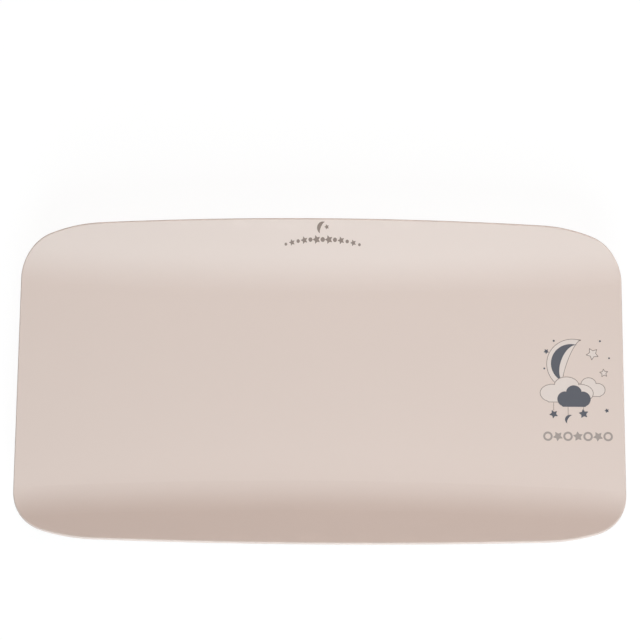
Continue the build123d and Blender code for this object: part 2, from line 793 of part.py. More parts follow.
def lead(points, diameter):
    """A round lead along straight stretches joined by arcs."""
    points = [Vector(*point) for point in points]
    reached = points[0]
    stretches = []
    for before, corner, after in zip(points, points[1:], points[2:]):
        back, ahead = (before - corner).normalized(), (after - corner).normalized()
        half_angle = math.radians(back.get_angle(ahead)) / 2
        middle = (back + ahead).normalized()
        start = corner + back * (lead_bend_radius / math.tan(half_angle))
        end = corner + ahead * (lead_bend_radius / math.tan(half_angle))
        crown = corner + middle * (lead_bend_radius / math.sin(half_angle) - lead_bend_radius)
        stretches += [Line(reached, start), ThreePointArc(start, crown, end)]
        reached = end
    stretches.append(Line(reached, points[-1]))
    path = Wire([edge for stretch in stretches for edge in stretch.edges()])
    section = Plane(origin=path @ 0, z_dir=path % 0) * Circle(diameter / 2)
    return sweep(section, path)


def load_cell_lead(x, y, header_x):
    """A load cell's lead: out of its well, along the housing's floor, to the header."""
    side = 1 if x > 0 else -1
    lying = housing_floor + part_gap + lead_diameter / 2
    start = (x - side * gauge_width / 2, gauge_y(y), cell_lead_z)
    wall = (x - side * (well_size / 2 + housing_wall), gauge_y(y), cell_lead_z)
    front = y < 0
    setbacks = front_lead_setbacks if front else rear_lead_setbacks
    columns = [foot_x - setback for setback in setbacks]
    columns.append(front_lead_bend_x if front else rear_lead_bend_x)
    rows = front_lead_rows if front else rear_lead_rows
    way = [(side * column, row, lying) for column, row in zip(columns, rows)]
    end = panel_point(header_x, connector_y, pcb_back + connector_depth)
    near = end + panel_inward * 3 * lead_bend_radius
    return lead([start, wall, *way, near, end], lead_diameter)


def battery_leads():
    """The two leads from the single contacts' tails to the board."""
    leads = []
    tail_end = bay_length / 2 + bay_wall + tail_proud
    for side, row in ((1, battery_rows[0]), (-1, battery_rows[-1])):
        start = (side * tail_end, row[0], tail_z)
        turn = (side * (tail_end + 2 * lead_bend_radius), row[0], tail_z)
        rise_x, rise_y, rise_z = battery_lead_rise
        way = [(side * battery_lead_bend_x, row[0] - battery_lead_bend_y, tail_z),
               (side * rise_x, rise_y, rise_z)]
        end = panel_point(side * battery_lead_x, connector_y, pcb_back)
        near = end + panel_inward * 2 * lead_bend_radius
        leads.append(lead([start, turn, *way, near, end], battery_lead_diameter))
    return leads


# ---- The pieces, one file each ----
def pieces():
    """Each node's name with its solid or its list of solids."""
    yield "tray", tray()
    yield "base_shell", base_shell()
    yield "display_lens", display_lens()
    yield "lcd_glass", lcd_glass()
    yield "lcd_backlight", lcd_backlight()
    yield "lcd_frame", lcd_frame()
    yield "lcd_elastomer_strips", lcd_elastomer_strips()
    yield "main_pcb", main_pcb()
    yield "controller_chips", controller_chips()
    yield "sensor_connector", sensor_connector()
    yield "pcb_screws", [pcb_screw(x, y) for x, y in post_places]
    yield "tact_switch_bodies", [tact_switch(x) for x in button_places.values()]
    for name, x in button_places.items():
        yield f"{name}_button", button(x)
        yield f"{name}_switch_plunger", switch_plunger(x)
    header_step = connector_width / len(foot_places)
    header_order = ["front_left", "rear_left", "rear_right", "front_right"]
    for name, (x, y) in foot_places.items():
        yield f"load_cell_{name}", load_cell(x, y)
        yield f"foot_carrier_{name}", foot_carrier(x, y)
        yield f"foot_pad_{name}", foot_pad(x, y)
        header_x = (header_order.index(name) - 1.5) * header_step
        yield f"load_cell_lead_{name}", load_cell_lead(x, y, header_x)
    yield "strain_gauges", [strain_gauge(x, y) for x, y in foot_places.values()]
    yield "battery_door", battery_door()
    for number, (y, heading) in enumerate(battery_rows, start=1):
        yield f"battery_{number}", battery(y, heading)
    yield "battery_springs", [battery_spring(y, heading) for y, heading in battery_rows]
    yield "battery_contacts", battery_contacts()
    yield "battery_leads", battery_leads()
    yield "housing_screws", [housing_screw(x, y) for x, y in boss_places]


os.makedirs("parts", exist_ok=True)
for node, shape in pieces():
    solid = Compound(shape) if isinstance(shape, list) else shape
    export_step(solid, f"parts/{node}.step")
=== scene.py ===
import json
import math

import bmesh
import bpy
from bpy.props import FloatProperty, FloatVectorProperty, PointerProperty, StringProperty
from mathutils import Matrix, Quaternion, Vector


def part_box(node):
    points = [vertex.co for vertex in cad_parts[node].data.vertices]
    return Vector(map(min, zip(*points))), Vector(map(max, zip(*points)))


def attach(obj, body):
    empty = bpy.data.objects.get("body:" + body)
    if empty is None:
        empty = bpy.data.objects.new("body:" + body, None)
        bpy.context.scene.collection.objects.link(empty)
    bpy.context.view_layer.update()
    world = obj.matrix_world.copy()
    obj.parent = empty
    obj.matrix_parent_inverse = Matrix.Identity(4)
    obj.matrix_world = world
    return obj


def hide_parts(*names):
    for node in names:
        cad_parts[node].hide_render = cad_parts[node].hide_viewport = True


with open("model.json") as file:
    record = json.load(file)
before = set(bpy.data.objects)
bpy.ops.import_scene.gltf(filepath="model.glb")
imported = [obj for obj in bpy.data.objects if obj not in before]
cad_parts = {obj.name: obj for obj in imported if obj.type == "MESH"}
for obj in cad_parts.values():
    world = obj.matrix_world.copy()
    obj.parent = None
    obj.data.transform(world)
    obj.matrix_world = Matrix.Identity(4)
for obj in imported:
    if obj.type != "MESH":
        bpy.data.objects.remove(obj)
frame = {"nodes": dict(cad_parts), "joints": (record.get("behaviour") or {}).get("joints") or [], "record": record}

bl_info = {
    "name": "Baby scale finisher",
    "version": (1, 0, 0),
    "blender": (4, 5, 0),
    "location": "View3D > Sidebar > Baby Scale",
    "description": "Finishes, prints and small fittings of a digital baby weighing scale",
    "category": "Object",
}

MM = 0.001
WHITE = (1.0, 1.0, 1.0, 1.0)
BUTTONS = ("power", "unit", "hold", "tare")
FEET = ("front_left", "front_right", "rear_left", "rear_right")

# ---- Sizes that the part's own source gives ----
LIP_LINE = 88.5 * MM  # where the lips begin to rise, at mid-length
LIP_LINE_RADIUS = 4700 * MM  # of that line's bow, seen from above
LIP_BEND = 60 * MM
LIP_SLOPE = math.radians(28)
LENS_THICKNESS = 1.2 * MM
GLASS_DEPTH = 2.5 * MM  # from the panel's outer face to the face of the display glass
CAP_RISE = 1.2 * MM  # from the panel's outer face to the face of a button
UNDERSIDE = 5 * MM  # the housing's lower face above the table
SCREW_HEAD = 6 * MM  # diameter of the housing screws' heads
SCREW_INNER = 110 * MM  # X of the inner screws


def middle_of(node):
    """The middle of a CAD node's box."""
    low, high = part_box(node)
    return (low + high) / 2


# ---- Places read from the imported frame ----
TRAY_FLOOR = next(m["pos_m"][2] for m in frame["record"]["mounts"] if m["name"] == "tray_floor")
PRESS_AXIS = Vector(next(j["axis"] for j in frame["joints"] if j["name"] == "power_press"))
PANEL_TILT = math.atan2(PRESS_AXIS.y, -PRESS_AXIS.z)
PANEL_MIDDLE = middle_of("display_lens") - PRESS_AXIS * LENS_THICKNESS / 2
PANEL = Matrix.Translation(PANEL_MIDDLE) @ Matrix.Rotation(PANEL_TILT, 4, "X")


def tray_height(x, y):
    """Height of the tray's upper face above the table."""
    past = LIP_LINE_RADIUS - math.hypot(x, LIP_LINE + LIP_LINE_RADIUS - abs(y))
    bend = LIP_BEND * math.sin(LIP_SLOPE)
    if past <= 0:
        return TRAY_FLOOR
    if past < bend:
        return TRAY_FLOOR + LIP_BEND - math.sqrt(LIP_BEND**2 - past**2)
    return TRAY_FLOOR + LIP_BEND * (1 - math.cos(LIP_SLOPE)) + (past - bend) * math.tan(LIP_SLOPE)


# ---- Shader maths ----
class Value:
    """One output of a node. Arithmetic on it adds Math nodes."""

    def __init__(self, finish, socket):
        self.finish = finish
        self.socket = socket

    def output(self, name):
        """Another output of the same node."""
        return Value(self.finish, self.socket.node.outputs[name])

    def maths(self, operation, *others):
        """A Math node on this value and the others."""
        operands = dict(enumerate((self, *others)))
        return self.finish.node("ShaderNodeMath", {"operation": operation}, operands)

    def __add__(self, other):
        return self.maths("ADD", other)

    def __sub__(self, other):
        return self.maths("SUBTRACT", other)

    def __rsub__(self, other):
        return self.maths("MULTIPLY_ADD", -1.0, other)

    def __mul__(self, other):
        return self.maths("MULTIPLY", other)

    def __pow__(self, other):
        return self.maths("POWER", other)

    def __abs__(self):
        return self.maths("ABSOLUTE")

    def __gt__(self, other):
        return self.maths("GREATER_THAN", other)

    __radd__ = __add__
    __rmul__ = __mul__

    def at_least(self, other):
        """The larger of two values."""
        return self.maths("MAXIMUM", other)

    def waves(self, length):
        """A wave of a given length along this value, from -1 to 1."""
        return (self * (math.tau / length)).maths("SINE")

    def ramp(self, start, end):
        """A smooth step from 0 at start to 1 at end."""
        values = {"Value": self, "From Min": start, "From Max": end}
        return self.finish.node("ShaderNodeMapRange", {"interpolation_type": "SMOOTHSTEP"}, values)


def distance(x, y):
    """How far a point is from where both its axes are 0."""
    return (x * x + y * y) ** 0.5


def rounded_mask(across, up, width, height, corner):
    """1 inside a rounded rectangle, 0 outside, with an edge a tenth of a millimetre soft."""
    soft = 0.05 * MM
    past_side = (abs(across) - (width / 2 - corner)).at_least(0.0)
    past_end = (abs(up) - (height / 2 - corner)).at_least(0.0)
    return distance(past_side, past_end).ramp(corner + soft, corner - soft)


def rgba(colour, level=1.0):
    """A colour with its alpha, made lighter or darker by a level."""
    return tuple(min(1.0, channel * level) for channel in colour[:3]) + (1.0,)


class Finish:
    """A node tree in the making: one method adds any node, sums are expressions."""

    def __init__(self, name, tree=None):
        self.material = None
        if tree is None:
            self.material = bpy.data.materials.new(name)
            self.material.use_nodes = True
            tree = self.material.node_tree
        self.tree = tree
        self.tree.nodes.clear()

    def node(self, kind, settings=None, values=None, output=0):
        """Any node: its type, its settings, and the values or links of its sockets."""
        node = self.tree.nodes.new(kind)
        for name, value in (settings or {}).items():
            setattr(node, name, value)
        for socket, value in (values or {}).items():
            if isinstance(value, Value):
                self.tree.links.new(value.socket, node.inputs[socket])
            else:
                node.inputs[socket].default_value = value
        return Value(self, node.outputs[output] if len(node.outputs) else None)

    def place(self):
        """The point being shaded, in the scale's frame."""
        return self.node("ShaderNodeTexCoord", output="Object")

    def axes(self, vector=None):
        """X, Y and Z of a vector, or of the point being shaded."""
        first = self.node("ShaderNodeSeparateXYZ", {}, {"Vector": vector or self.place()})
        return first, first.output("Y"), first.output("Z")

    def panel_axes(self):
        """X and Y of the point being shaded, in the sloping panel's frame."""
        values = {"Vector": self.place(), "Location": PANEL_MIDDLE, "Rotation": (PANEL_TILT, 0, 0)}
        return self.axes(self.node("ShaderNodeMapping", {"vector_type": "TEXTURE"}, values))[:2]

    def noise(self, scale, detail=2.0, roughness=0.5, stretch=None):
        """Cloudy variation from 0 to 1, features about 1 / scale metres across."""
        place = self.place()
        if stretch:
            place = self.node("ShaderNodeMapping", {}, {"Vector": place, "Scale": stretch})
        values = {"Vector": place, "Scale": scale, "Detail": detail, "Roughness": roughness}
        return self.node("ShaderNodeTexNoise", {}, values)

    def cells(self, scale):
        """Distance to scattered points, features about 1 / scale metres apart."""
        values = {"Vector": self.place(), "Scale": scale}
        return self.node("ShaderNodeTexVoronoi", {"feature": "F1"}, values, "Distance")

    def mix(self, factor, low, high):
        """From one colour to another by a factor. A Mix node's colour sockets go by number."""
        values = {0: factor, 6: low, 7: high}
        return self.node("ShaderNodeMix", {"data_type": "RGBA"}, values, 2)

    def tone(self, colour, factor, share):
        """A colour that varies by a share of itself, up and down, with a factor."""
        return self.mix(factor, rgba(colour, 1 - share), rgba(colour, 1 + share))

    def surface(self, values, relief=None, depth=0.0):
        """Ends the tree in a Principled shader, with a relief of a given depth."""
        if relief is not None:
            bump = {"Height": relief, "Distance": depth, "Strength": 1.0}
            values["Normal"] = self.node("ShaderNodeBump", {}, bump)
        shader = self.node("ShaderNodeBsdfPrincipled", {}, values)
        self.node("ShaderNodeOutputMaterial", {}, {"Surface": shader})
        return self.material

    def shader(self, kind, colour, strength=None):
        """A shader node of one colour, and of a strength where it gives light."""
        values = {"Color": colour}
        if strength is not None:
            values["Strength"] = strength
        return self.node(kind, {}, values)

    def blend(self, factor, first, second):
        """From one shader to another by a factor."""
        return self.node("ShaderNodeMixShader", {}, {0: factor, 1: first, 2: second})

    def backdrop_rays(self):
        """1 for the rays that show a backdrop: the camera's, reflected and passed through."""
        rays = self.node("ShaderNodeLightPath", output="Is Camera Ray")
        return rays + rays.output("Is Glossy Ray") + rays.output("Is Transmission Ray")


# ---- Finishes ----
def moulded(name, colour, rough=0.42, grain=1500.0, depth=0.02 * MM, share=0.012):
    """Injection moulded plastic: fine spark texture, faint clouds, uneven sheen."""
    f = Finish(name)
    clouds = f.noise(14.0, detail=3.0)
    sheen = f.noise(90.0, detail=3.0, roughness=0.6)
    texture = f.noise(grain, roughness=0.55)
    pits = f.cells(grain * 0.8)
    values = {
        "Base Color": f.tone(colour, clouds * 0.7 + texture * 0.3, share),
        "Roughness": sheen * 0.08 + (rough - 0.04) + texture * 0.04,
    }
    return f.surface(values, texture * 0.7 + pits * 0.3, depth)


def tray_satin(props):
    """The tray's satin plastic: silky grain, faint clouds, the rim worn a little smoother, and a painted highlight
    on rim and ends.
    """
    f = Finish("tray_satin")
    clouds = f.noise(7.0, detail=3.0, roughness=0.55)
    flow = f.noise(22.0, stretch=(0.35, 1.0, 1.0))
    grain = f.noise(props.grain, roughness=0.6)
    pores = f.cells(props.grain * 0.6)
    x, _, z = f.axes()
    # In patches along the rim and the short ends: a smoother finish from wear, and a painted highlight that makes
    # the colour a little lighter.
    lip_edge = z.ramp(60 * MM, 64 * MM)
    end_edge = abs(x).ramp(271 * MM, 275 * MM)
    patches = f.noise(60.0, detail=4.0, roughness=0.7).ramp(0.42, 0.66)
    wear_and_edge_highlight = lip_edge.at_least(end_edge) * patches
    shade = clouds * 0.6 + flow * 0.3 + grain * 0.1
    colour = f.tone(props.colour, shade, 0.014)
    values = {
        # Painted highlight: a little lighter in the patches along the rim and the short ends.
        "Base Color": f.mix(wear_and_edge_highlight * 0.35, colour, rgba(props.colour, 1.05)),
        "Roughness": grain * 0.05 + flow * 0.06 + props.roughness - 0.05 - wear_and_edge_highlight * 0.08,
        "Specular IOR Level": 0.3,
    }
    return f.surface(values, grain * 0.75 + pores * 0.25, props.grain_depth)


def housing_texture(props):
    """The housing's moulding: a coarser spark texture, a little darker and duller in specks towards the table."""
    f = Finish("housing_texture")
    grain = f.noise(1100.0, detail=3.0, roughness=0.6)
    pits = f.cells(900.0)
    clouds = f.noise(11.0, detail=3.0)
    specks = f.noise(45.0, detail=5.0, roughness=0.7).ramp(0.35, 0.8)
    z = f.axes()[2]
    # Darker and rougher in specks towards the table.
    specks_near_table = (1 - z.ramp(4 * MM, 14 * MM)) * specks
    colour = f.tone(props.colour, clouds * 0.6 + grain * 0.4, 0.018)
    values = {
        "Base Color": f.mix(specks_near_table * 0.25, colour, rgba(props.colour, 0.78)),
        "Roughness": grain * 0.1 + props.roughness + specks_near_table * 0.08,
    }
    return f.surface(values, grain * 0.6 + pits * 0.4, 0.05 * MM)


def ink(name, colour, cover=1.0):
    """Pad printed ink: a dense film with pinholes and a slightly uneven tone."""
    f = Finish(name)
    film = f.noise(700.0, detail=3.0, roughness=0.6)
    pinholes = f.noise(2600.0, detail=1.0).ramp(0.70, 0.74)
    tone = f.tone(colour, film, 0.05 * cover)
    values = {
        "Base Color": f.mix(pinholes * 0.35, tone, rgba(colour, 1.35)),
        "Roughness": film * 0.1 + 0.42,
    }
    return f.surface(values, film, 0.004 * MM)


def lens_acrylic(props):
    """Tinted acrylic: clear over the window, printed dark behind its border."""
    f = Finish("lens_acrylic")
    x, y = f.panel_axes()
    corner, line = 1.5 * MM, 0.8 * MM
    width, height = props.window_width, props.window_height
    window = rounded_mask(x, y, width, height, corner)
    framed = rounded_mask(x, y, width + 2 * line, height + 2 * line, corner + line)
    smudge = f.noise(70.0, detail=4.0, roughness=0.7)
    border = f.tone(props.lens_colour, f.noise(400.0), 0.08)
    values = {
        "Base Color": f.mix(framed - window, border, rgba(props.hairline_colour)),
        "Roughness": smudge.ramp(0.45, 0.75) * 0.06 + 0.07,
        "Alpha": window * -0.9 + 1.0,
        "IOR": 1.49,
    }
    return f.surface(values)


def display_glass(props):
    """A reflective liquid crystal cell: green-grey, finely ruled, darker at its edge, with painted shade towards
    the bottom.
    """
    f = Finish("display_glass")
    x, y = f.panel_axes()
    width, height = props.window_width + 3 * MM, props.window_height + 2 * MM
    inside = rounded_mask(x, y, width, height, 0.4 * MM)
    rows = y.waves(0.35 * MM) * 0.5 + 0.5
    # Painted shade: the cell darker towards the bottom and lighter towards the top.
    painted_shade_fall = y.ramp(-9 * MM, 9 * MM)
    face = f.mix(painted_shade_fall, rgba(props.glass_colour, 0.93), rgba(props.glass_colour, 1.04))
    ruled = f.mix(rows * 0.05, face, rgba(props.glass_colour, 0.8))
    values = {
        "Base Color": f.mix(inside, rgba(props.glass_colour, 0.55), ruled),
        "Roughness": f.noise(500.0) * 0.05 + 0.16,
    }
    return f.surface(values)


def light_guide():
    """Milky acrylic with its printed dots."""
    f = Finish("light_guide_milk")
    milk, dot = (0.84, 0.87, 0.88), (0.97, 0.98, 0.98)
    pitch = 1.5 * MM
    x, y = f.panel_axes()
    dots = (x.waves(pitch) * y.waves(pitch)).ramp(0.35, 0.55)
    values = {
        "Base Color": f.mix(dots, rgba(milk), rgba(dot)),
        "Roughness": dots * 0.25 + 0.2,
    }
    return f.surface(values, dots, 0.02 * MM)


def strip_rubber():
    """Layered contact rubber: thin dark lines between pink insulation."""
    f = Finish("strip_rubber_layers")
    pink, carbon = (0.62, 0.2, 0.24), (0.04, 0.035, 0.04)
    layers = f.panel_axes()[0].waves(0.5 * MM).ramp(0.1, 0.3)
    values = {
        "Base Color": f.mix(layers, rgba(pink), rgba(carbon)),
        "Roughness": f.noise(900.0) * 0.1 + 0.55,
    }
    return f.surface(values, layers, 0.02 * MM)


def board_laminate():
    """Solder mask over copper: tracks, vias and the weave of the laminate."""
    f = Finish("board_laminate")
    dark, light, track, tin = (
        (0.012, 0.12, 0.055), (0.016, 0.15, 0.07), (0.03, 0.24, 0.11), (0.62, 0.6, 0.55))
    thread = 0.9 * MM
    x, y = f.panel_axes()
    wander = f.noise(120.0, detail=1.0) * (6 * MM)
    tracks = (y + wander).waves(2.4 * MM).ramp(0.55, 0.7)
    crossing = (x + wander).waves(9 * MM).ramp(0.9, 0.95)
    copper = tracks.at_least(crossing)
    vias = 1 - f.cells(190.0).ramp(0.08, 0.13)
    weave = x.waves(thread) * y.waves(thread)
    mask = f.mix(weave * 0.5 + 0.5, rgba(dark), rgba(light))
    tracked = f.mix(copper, mask, rgba(track))
    values = {
        "Base Color": f.mix(vias, tracked, rgba(tin)),
        "Roughness": 0.3 - vias * 0.08 + weave * 0.03,
        "Metallic": vias * 0.8,
    }
    return f.surface(values, copper * 0.8 + weave * 0.1, 0.035 * MM)


def chip_epoxy():
    """Moulded epoxy: near black, sandblasted."""
    f = Finish("chip_epoxy")
    black, grey = (0.012, 0.012, 0.013), (0.03, 0.03, 0.032)
    grit = f.noise(2200.0, roughness=0.6)
    values = {
        "Base Color": f.mix(grit, rgba(black), rgba(grey)),
        "Roughness": grit * 0.15 + 0.5,
    }
    return f.surface(values, grit, 0.02 * MM)


def plated(name, colour, rough=0.3, scale=380.0, stretch=(1.0, 1.0, 1.0)):
    """Plated steel: drawn lines, faint stains and handling haze."""
    f = Finish(name)
    drawn = f.noise(scale, detail=4.0, roughness=0.65, stretch=stretch)
    stain = f.noise(60.0, detail=4.0, roughness=0.6).ramp(0.4, 0.75)
    values = {
        "Base Color": f.mix(stain * 0.4, rgba(colour), rgba(colour, 0.8)),
        "Roughness": drawn * 0.18 + rough - 0.09 + stain * 0.08,
        "Metallic": 1.0,
    }
    return f.surface(values, drawn, 0.006 * MM)


def foot_rubber():
    """Soft moulded rubber: dull, with fine rings from its mould and a trace of dust."""
    f = Finish("foot_rubber_rings")
    rubber, dusty = (0.075, 0.075, 0.078), (0.2, 0.19, 0.18)
    x, y, _ = f.axes()
    grit = f.noise(1500.0, detail=3.0, roughness=0.65)
    foot_x = middle_of("foot_pad_front_right").x
    foot_y = middle_of("foot_pad_rear_right").y
    reach = distance(abs(x) - foot_x, abs(y) - foot_y)
    rings = reach.waves(1.6 * MM) * 0.5 + 0.5
    specks_near_table = f.noise(240.0, detail=4.0, roughness=0.7).ramp(0.45, 0.8)
    values = {
        "Base Color": f.mix(specks_near_table * 0.3, rgba(rubber), rgba(dusty)),
        "Roughness": grit * 0.14 + 0.66,
    }
    return f.surface(values, rings * 0.6 + grit * 0.3, 0.06 * MM)


def lead_jacket(name, colour, other=None):
    """Extruded lead jacket with a slight twist of gloss; two colours by side if asked."""
    f = Finish(name)
    streak = f.noise(260.0, detail=3.0, roughness=0.6, stretch=(0.3, 1.0, 1.0))
    tone = f.tone(colour, streak, 0.06)
    if other is not None:
        right = f.axes()[0] > 0.0
        tone = f.mix(right, tone, f.tone(other, streak, 0.06))
    return f.surface({"Base Color": tone, "Roughness": streak * 0.12 + 0.34}, streak, 0.01 * MM)


def cell_wrap(name, heading):
    """Battery: shrink film in two plain tones, bare plated ends. Heading is 1 or -1 along X."""
    f = Finish(name)
    slate, copper, steel = (0.02, 0.028, 0.04), (0.42, 0.2, 0.05), (0.62, 0.61, 0.6)
    band_start, band_edge, cap = 9.8 * MM, 10.2 * MM, 1.1 * MM
    low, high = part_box("battery_1")
    x = f.axes()[0]
    band = (x * heading).ramp(band_start, band_edge)
    bare = abs(x) > (high.x - low.x) / 2 - cap
    creases = f.noise(500.0, detail=3.0, roughness=0.6, stretch=(0.2, 1.0, 1.0))
    values = {
        "Base Color": f.mix(bare, f.mix(band, rgba(slate), rgba(copper)), rgba(steel)),
        "Roughness": creases * 0.1 + 0.24,
        "Metallic": bare * 0.65 + band * 0.35,
    }
    return f.surface(values, creases, 0.012 * MM)


# ---- Shapes ----
def rounded(bm, geom, offset, segments, affect="VERTICES"):
    """Rounds corners, or edges, of a shape."""
    bmesh.ops.bevel(bm, geom=geom, offset=offset, offset_type="OFFSET", segments=segments,
                    profile=0.5, affect=affect, material=-1)


def rounded_plate(width, height, corner, steps=6):
    """A flat rounded rectangle about the origin."""
    bm = bmesh.new()
    bmesh.ops.create_grid(bm, x_segments=1, y_segments=1, size=0.5)
    bmesh.ops.scale(bm, vec=(width, height, 1), verts=bm.verts)
    rounded(bm, bm.verts[:], corner, steps)
    return bm


def disc(radius, steps=32):
    """A flat disc about the origin."""
    bm = bmesh.new()
    bmesh.ops.create_circle(bm, cap_ends=True, segments=steps, radius=radius)
    return bm


def star(radius, waist=0.5):
    """A flat five-pointed star with slightly rounded tips, one tip up."""
    points = 5
    bm = disc(radius, 2 * points)
    quarter_turn = Matrix.Rotation(math.pi / 2, 3, "Z")
    bmesh.ops.rotate(bm, cent=(0, 0, 0), matrix=quarter_turn, verts=bm.verts)
    tips = set()
    for vertex in bm.verts:
        turn = math.degrees(math.atan2(vertex.co.y, vertex.co.x)) - 90
        if round(turn / (180 / points)) % 2:
            vertex.co *= waist
        else:
            tips.add(vertex)
    rounded(bm, list(tips), radius * 0.12, 3)
    return bm


def crescent(radius, hollow):
    """A flat crescent open to the right: a disc whose right half is folded in."""
    bm = disc(radius, 72)
    nearly_zero = radius * 1e-4
    right = [v for v in bm.verts if v.co.x > nearly_zero]
    tips = [v for v in bm.verts if abs(v.co.x) <= nearly_zero]
    bmesh.ops.scale(bm, vec=(-hollow, 1, 1), verts=right)
    rounded(bm, tips, radius * 0.07, 2)
    return bm


def cloud(width, height):
    """A flat cloud: a lobed disc, the same left and right, with its underside flattened."""
    puffs, lobe = 5, 0.24
    cut, base, base_reach = -0.235, -0.30, 0.66
    bm = disc(1.0, 24 * puffs)
    for vertex in bm.verts:
        turn = math.atan2(vertex.co.y, vertex.co.x) + math.pi / 2
        vertex.co *= 1 - lobe + lobe * abs(math.sin(turn * puffs / 2)) ** 0.8
        if vertex.co.y < cut:
            vertex.co = (max(-base_reach, min(base_reach, vertex.co.x)), base, 0)
    bmesh.ops.remove_doubles(bm, verts=bm.verts[:], dist=1e-4)
    bmesh.ops.scale(bm, vec=(width / 2, height / (1 - base), 1), verts=bm.verts)
    return bm


def inset_band(bm, width):
    """Insets a flat shape and returns the band of faces along its edge."""
    return bmesh.ops.inset_region(
        bm, faces=bm.faces[:], use_boundary=True, use_even_offset=True, thickness=width)["faces"]


def border_of(bm, width):
    """Keeps a band along a flat shape's edge."""
    band = set(inset_band(bm, width))
    bmesh.ops.delete(bm, geom=[face for face in bm.faces if face not in band], context="FACES")
    return bm


def inside_of(bm, width):
    """Keeps what lies within a band along a flat shape's edge."""
    bmesh.ops.delete(bm, geom=inset_band(bm, width), context="FACES")
    return bm


def open_top(bm, width):
    """Takes a gap out of the top of a flat ring."""
    middles = {face: face.calc_center_median() for face in bm.faces}
    gap = [face for face, middle in middles.items() if abs(middle.x) < width / 2 and middle.y > 0]
    bmesh.ops.delete(bm, geom=gap, context="FACES")
    return bm


def thicken(bm, thickness):
    """Gives a flat shape a thickness upwards."""
    made = bmesh.ops.extrude_face_region(bm, geom=bm.faces[:], use_keep_orig=True)
    raised = [g for g in made["geom"] if isinstance(g, bmesh.types.BMVert)]
    bmesh.ops.translate(bm, vec=(0, 0, thickness), verts=raised)
    return bm


def merged(shapes):
    """Several shapes, each with its place, in one mesh."""
    whole = bmesh.new()
    for bm, place in shapes:
        bm.transform(place)
        part = bpy.data.meshes.new("part")
        bm.to_mesh(part)
        bm.free()
        whole.from_mesh(part)
        bpy.data.meshes.remove(part)
    return whole


def at(x, y, turn=0.0):
    """A place in the plane: millimetres, and degrees about Z."""
    spot = Matrix.Translation((x * MM, y * MM, 0))
    return spot @ Matrix.Rotation(math.radians(turn), 4, "Z")


def from_print(sizes, x, y, turn=0.0):
    """A place as above, with X from the middle of the picture."""
    return at(sizes.across / MM + x, y, turn)


def linked(name, data):
    """A new object in the scene."""
    made = bpy.data.objects.new(name, data)
    bpy.context.scene.collection.objects.link(made)
    return made


def mesh_object(name, bm, finish):
    """A new object from a shape, with its finish."""
    mesh = bpy.data.meshes.new(name)
    bm.to_mesh(mesh)
    bm.free()
    mesh.materials.append(finish)
    return linked(name, mesh)


def piece(name, bm, finish, body="scale"):
    """Makes a shape a piece that rides on a body."""
    bmesh.ops.remove_doubles(bm, verts=bm.verts[:], dist=1e-7)
    bmesh.ops.recalc_face_normals(bm, faces=bm.faces[:])
    made = mesh_object(name, bm, finish)
    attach(made, body)
    return made


def smooth_by_angle(made, degrees=35.0):
    """Shades a piece smooth across edges that bend less than an angle."""
    for face in made.data.polygons:
        face.use_smooth = True
    made.data.set_sharp_from_angle(angle=math.radians(degrees))


def dress(finish, *nodes):
    """Gives CAD nodes their finish."""
    for node in nodes:
        materials = frame["nodes"][node].data.materials
        materials.clear()
        materials.append(finish)


def print_on_tray(name, shapes, finish, layer):
    """Flat shapes as an ink film that follows the tray's upper face, each layer a film higher."""
    film = 0.02 * MM
    bm = merged(shapes)
    thicken(bm, film * (layer + 2))
    bmesh.ops.triangulate(bm, faces=bm.faces[:])
    for vertex in bm.verts:
        vertex.co.z += tray_height(vertex.co.x, vertex.co.y) - film
    return piece(name, bm, finish)


# ---- Sizes and colours ----
LENGTH = {"subtype": "DISTANCE", "unit": "LENGTH"}
COLOUR = {"subtype": "COLOR", "size": 3, "min": 0, "max": 1}


class TrayFinishSizes(bpy.types.PropertyGroup):
    """The tray's plastic."""

    colour: FloatVectorProperty(
        name="Tray colour", description="Warm beige of the tray", default=(0.736, 0.606, 0.551),
        **COLOUR)
    roughness: FloatProperty(
        name="Tray roughness", description="Satin sheen of the tray", default=0.52, min=0, max=1)
    grain: FloatProperty(
        name="Grain per metre", description="How fine the moulded grain is", default=1700, min=1)
    grain_depth: FloatProperty(
        name="Grain depth", description="Depth of the moulded grain", default=0.012 * MM, **LENGTH)


class HousingFinishSizes(bpy.types.PropertyGroup):
    """The housing's plastic."""

    colour: FloatVectorProperty(
        name="Housing colour", description="Light beige of the housing",
        default=(0.78, 0.66, 0.595), **COLOUR)
    roughness: FloatProperty(
        name="Housing roughness", description="Sheen of the housing", default=0.45, min=0, max=1)


class PrintSizes(bpy.types.PropertyGroup):
    """The prints on the tray."""

    across: FloatProperty(
        name="Print X", description="Middle of the picture along the tray", default=0.230, **LENGTH)
    line: FloatProperty(
        name="Line width", description="Width of the printed outlines", default=0.55 * MM, **LENGTH)
    slate: FloatVectorProperty(
        name="Slate ink", description="Dark ink", default=(0.058, 0.062, 0.080), **COLOUR)
    line_colour: FloatVectorProperty(
        name="Line ink", description="Grey of the outlines", default=(0.25, 0.19, 0.165), **COLOUR)
    pale: FloatVectorProperty(
        name="Pale ink", description="Fill of moon and cloud", default=(0.73, 0.628, 0.583),
        **COLOUR)
    soft_grey: FloatVectorProperty(
        name="Soft grey ink", description="The row under the picture",
        default=(0.345, 0.287, 0.263), **COLOUR)
    sprig_colour: FloatVectorProperty(
        name="Sprig ink", description="Grey-brown of the rear ornament",
        default=(0.21, 0.145, 0.115), **COLOUR)


